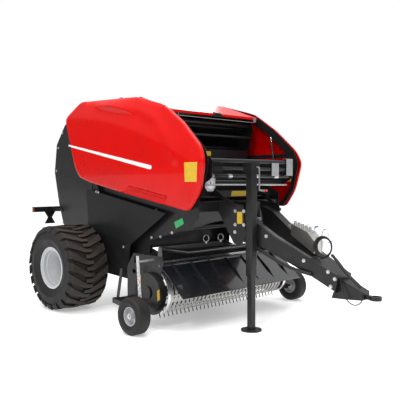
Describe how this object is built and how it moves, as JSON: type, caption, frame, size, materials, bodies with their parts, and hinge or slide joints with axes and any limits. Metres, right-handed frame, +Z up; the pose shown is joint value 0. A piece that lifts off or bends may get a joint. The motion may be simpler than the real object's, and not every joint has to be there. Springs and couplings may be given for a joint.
{
  "type": "round baler",
  "caption": "Towed round baler with fixed roller chamber, lifting tailgate, tined pickup with gauge wheels, hinged side covers and a screw jack.",
  "frame": {"origin": "on the ground at half the overall length, midway between the wheels", "axes": "+X forward to the hitch, +Y to the machine's left, +Z up"},
  "size_m": [4.351, 2.532, 2.3301],
  "materials": {
    "black_paint": "satin powder coat",
    "red_paint": "gloss",
    "silver_paint": "satin wheel enamel",
    "galvanised": "zinc plated",
    "bare_steel": "worn steel",
    "rubber_tyre": "matt",
    "hose_rubber": "matt",
    "chrome_rod": "polished",
    "cast_grey": "painted casting",
    "lamp_plastic": "moulded lens"
  },
  "bodies": {
    "chassis": {"side_walls": "black_paint", "cross_members": "black_paint", "axle_beam": "black_paint", "front_rollers": "bare_steel", "pivot_pins": "galvanised", "side_guards": "black_paint", "front_guard": "black_paint", "drawbar": "black_paint", "hitch_nose": "black_paint", "hitch_eye": "cast_grey", "gearbox": "cast_grey", "drive_stub": "bare_steel", "jack_tube": "black_paint", "wrap_frame": "black_paint", "wrap_box": "black_paint", "valve_bank": "cast_grey", "feed_hose": "hose_rubber", "hose_coil": "hose_rubber", "nose_hose": "hose_rubber", "brake_cable": "hose_rubber"},
    "tailgate": {"gate_rollers": "bare_steel", "gate_walls": "black_paint", "gate_skin": "black_paint", "light_bar": "black_paint", "lamps": "lamp_plastic"},
    "wheel_right": {"tyre_right": "rubber_tyre", "rim_right": "silver_paint", "hub_right": "silver_paint"},
    "wheel_left": {"tyre_left": "rubber_tyre", "rim_left": "silver_paint", "hub_left": "silver_paint"},
    "bonnet_lid": {"bonnet": "red_paint"},
    "side_cover_right": {"cover_right": "red_paint", "cover_frame_right": "black_paint"},
    "side_cover_left": {"cover_left": "red_paint", "cover_frame_left": "black_paint"},
    "strut_barrel_right": {"strut_right": "black_paint"},
    "strut_slider_right": {"strut_rod_right": "chrome_rod"},
    "strut_barrel_left": {"strut_left": "black_paint"},
    "strut_slider_left": {"strut_rod_left": "chrome_rod"},
    "ram_tube_right": {"ram_barrel_right": "black_paint"},
    "ram_slider_right": {"ram_rod_right": "chrome_rod"},
    "ram_tube_left": {"ram_barrel_left": "black_paint"},
    "ram_slider_left": {"ram_rod_left": "chrome_rod"},
    "pickup": {"pickup_frame": "black_paint", "strippers": "galvanised", "crop_bar": "black_paint", "gauge_arms": "black_paint", "height_straps": "galvanised"},
    "tines": {"tine_reel": "bare_steel"},
    "windguard": {"wind_guard": "black_paint"},
    "gauge_wheel_right": {"gauge_tyre_right": "rubber_tyre", "gauge_rim_right": "silver_paint"},
    "gauge_wheel_left": {"gauge_tyre_left": "rubber_tyre", "gauge_rim_left": "silver_paint"},
    "jack_foot": {"jack_leg": "black_paint"},
    "jack_handle": {"jack_crank": "galvanised"}
  },
  "joints": [
    {"name": "wheel_right_spin", "type": "hinge", "parent": "chassis", "child": "wheel_right", "pos_m": [-1.1455, -0.976, 0.466], "axis": [0, 1, 0], "continuous": true},
    {"name": "wheel_left_spin", "type": "hinge", "parent": "chassis", "child": "wheel_left", "pos_m": [-1.1455, 0.976, 0.466], "axis": [0, 1, 0], "continuous": true},
    {"name": "tailgate_lift", "type": "hinge", "parent": "chassis", "child": "tailgate", "pos_m": [-0.9955, 0, 2.225], "axis": [0, 1, 0], "range_deg": [0, 70]},
    {"name": "ram_right_swing", "type": "hinge", "parent": "chassis", "child": "ram_tube_right", "pos_m": [-0.8455, -0.634, 0.93], "axis": [0, 1, 0], "range_deg": [0, 8.73]},
    {"name": "ram_right_stroke", "type": "slide", "parent": "ram_tube_right", "child": "ram_slider_right", "axis": [-0.4138, 0, 0.9104], "range_m": [0, 0.41543]},
    {"name": "ram_left_swing", "type": "hinge", "parent": "chassis", "child": "ram_tube_left", "pos_m": [-0.8455, 0.634, 0.93], "axis": [0, 1, 0], "range_deg": [0, 8.73]},
    {"name": "ram_left_stroke", "type": "slide", "parent": "ram_tube_left", "child": "ram_slider_left", "axis": [-0.4138, 0, 0.9104], "range_m": [0, 0.41543]},
    {"name": "cover_right_lift", "type": "hinge", "parent": "chassis", "child": "side_cover_right", "pos_m": [-0.2585, -0.654, 2.31], "axis": [-1, 0, 0], "range_deg": [0, 42]},
    {"name": "cover_left_lift", "type": "hinge", "parent": "chassis", "child": "side_cover_left", "pos_m": [-0.2585, 0.654, 2.31], "axis": [1, 0, 0], "range_deg": [0, 42]},
    {"name": "strut_right_swing", "type": "hinge", "parent": "chassis", "child": "strut_barrel_right", "pos_m": [0.5095, -0.636, 1.59], "axis": [0.9588, 0.1134, 0.2606], "range_deg": [0, 29.22]},
    {"name": "strut_right_stroke", "type": "slide", "parent": "strut_barrel_right", "child": "strut_slider_right", "axis": [-0.2483, -0.1117, 0.9622], "range_m": [0, 0.21033]},
    {"name": "strut_left_swing", "type": "hinge", "parent": "chassis", "child": "strut_barrel_left", "pos_m": [0.5095, 0.636, 1.59], "axis": [-0.9588, 0.1134, -0.2606], "range_deg": [0, 29.22]},
    {"name": "strut_left_stroke", "type": "slide", "parent": "strut_barrel_left", "child": "strut_slider_left", "axis": [-0.2483, 0.1117, 0.9622], "range_m": [0, 0.21033]},
    {"name": "bonnet_lift", "type": "hinge", "parent": "chassis", "child": "bonnet_lid", "pos_m": [-0.8155, 0, 2.285], "axis": [0, -1, 0], "range_deg": [0, 50]},
    {"name": "pickup_lift", "type": "hinge", "parent": "chassis", "child": "pickup", "pos_m": [-0.1955, 0, 0.7], "axis": [0, -1, 0], "range_deg": [0, 12]},
    {"name": "tine_reel_spin", "type": "hinge", "parent": "pickup", "child": "tines", "pos_m": [0.2295, 0, 0.345], "axis": [0, 1, 0], "continuous": true},
    {"name": "wind_guard_lift", "type": "hinge", "parent": "pickup", "child": "windguard", "pos_m": [0.3505, 0, 0.61], "axis": [0, -1, 0], "range_deg": [0, 20]},
    {"name": "gauge_wheel_right_spin", "type": "hinge", "parent": "pickup", "child": "gauge_wheel_right", "pos_m": [0.3355, -1.191, 0.175], "axis": [0, 1, 0], "continuous": true},
    {"name": "gauge_wheel_left_spin", "type": "hinge", "parent": "pickup", "child": "gauge_wheel_left", "pos_m": [0.3355, 1.191, 0.175], "axis": [0, 1, 0], "continuous": true},
    {"name": "jack_stroke", "type": "slide", "parent": "chassis", "child": "jack_foot", "axis": [0, 0, 1], "range_m": [0, 0.3]},
    {"name": "jack_crank_turn", "type": "hinge", "parent": "chassis", "child": "jack_handle", "pos_m": [0.9905, -0.298, 1.548], "axis": [1, 0, 0], "continuous": true}
  ],
  "couplings": [
    {"joint": "ram_right_swing", "follows": "tailgate_lift", "ratio": 0.11751},
    {"joint": "ram_right_stroke", "follows": "tailgate_lift", "m_per_rad": 0.3384},
    {"joint": "ram_left_swing", "follows": "tailgate_lift", "ratio": 0.11751},
    {"joint": "ram_left_stroke", "follows": "tailgate_lift", "m_per_rad": 0.3384},
    {"joint": "strut_right_swing", "follows": "cover_right_lift", "ratio": 0.68852},
    {"joint": "strut_right_stroke", "follows": "cover_right_lift", "m_per_rad": 0.28557},
    {"joint": "strut_left_swing", "follows": "cover_left_lift", "ratio": 0.68852},
    {"joint": "strut_left_stroke", "follows": "cover_left_lift", "m_per_rad": 0.28557}
  ]
}
